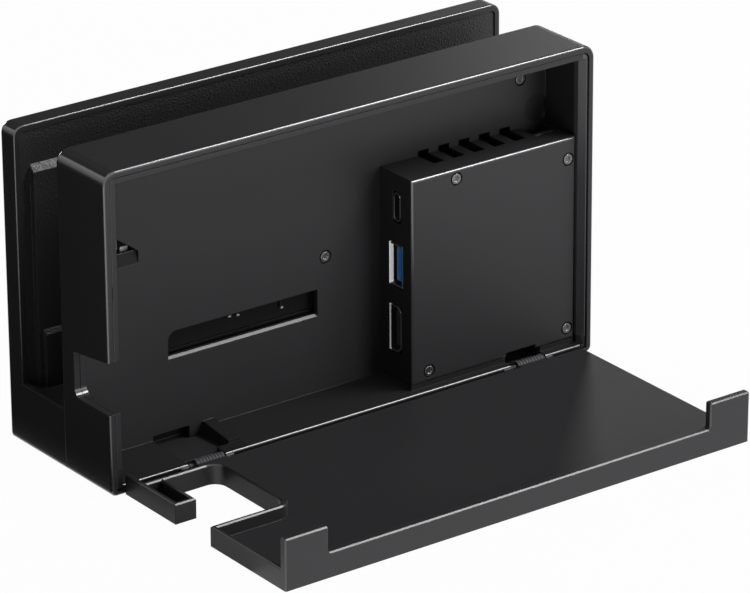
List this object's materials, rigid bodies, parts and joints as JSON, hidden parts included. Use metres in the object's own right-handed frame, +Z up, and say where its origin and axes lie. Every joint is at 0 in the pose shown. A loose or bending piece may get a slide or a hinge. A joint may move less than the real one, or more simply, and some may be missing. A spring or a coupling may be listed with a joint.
{
  "type": "handheld console dock",
  "caption": "Upright dock for a handheld game console: a front plate and console slot, a rear box with a socket block, and a hinged rear door lying open.",
  "frame": {"origin": "middle of the closed body's footprint, on the table that the feet stand on", "axes": "+Z up, -Y out of the front plate, +Y towards the rear door, +X to the side with the cable notch"},
  "size_m": [0.176, 0.1329, 0.1],
  "materials": {
    "black_plastic": "fine matte moulded black",
    "grained_plastic": "leather-like grained black",
    "sheet_metal": "plain pressed sheet",
    "plated_metal": "satin nickel plate",
    "blue_plastic": "moulded blue",
    "socket_plastic": "moulded black",
    "board": "coated circuit board",
    "cable_film": "smooth flat cable",
    "clear_plastic": "frosted clear",
    "rubber": "matte",
    "dark_steel": "blackened steel"
  },
  "bodies": {
    "root": {"front_shell": "black_plastic", "front_liner": "grained_plastic", "slot_floor": "grained_plastic", "base_plate": "black_plastic", "rear_housing": "black_plastic", "rear_tray": "black_plastic", "port_cover": "black_plastic", "inner_shield": "sheet_metal", "main_board": "board", "usb_socket": "plated_metal", "usb_tongue": "blue_plastic", "video_socket": "plated_metal", "video_tongue": "socket_plastic", "power_socket": "plated_metal", "power_tongue": "socket_plastic", "side_usb_sockets": "plated_metal", "side_usb_tongues": "socket_plastic", "plug_brackets": "sheet_metal", "centring_springs": "sheet_metal", "ribbon_cable": "cable_film", "light_pipe": "clear_plastic", "light_board": "board", "rubber_feet": "rubber", "port_cover_screws": "dark_steel", "tray_screws": "dark_steel", "board_screws": "dark_steel", "base_screws": "dark_steel"},
    "door": {"rear_door": "black_plastic"},
    "plug": {"plug_carrier": "black_plastic", "console_plug": "plated_metal", "plug_board": "board"}
  },
  "joints": [
    {"name": "door_hinge", "type": "hinge", "parent": "root", "child": "door", "pos_m": [0, 0.0252, 0.002], "axis": [1, 0, 0], "range_deg": [0, 90.4]},
    {"name": "plug_tilt", "type": "hinge", "parent": "root", "child": "plug", "pos_m": [0, -0.00817, 0.0114], "axis": [1, 0, 0], "range_deg": [-4, 4], "stiffness_Nm_per_rad": 0.05}
  ]
}
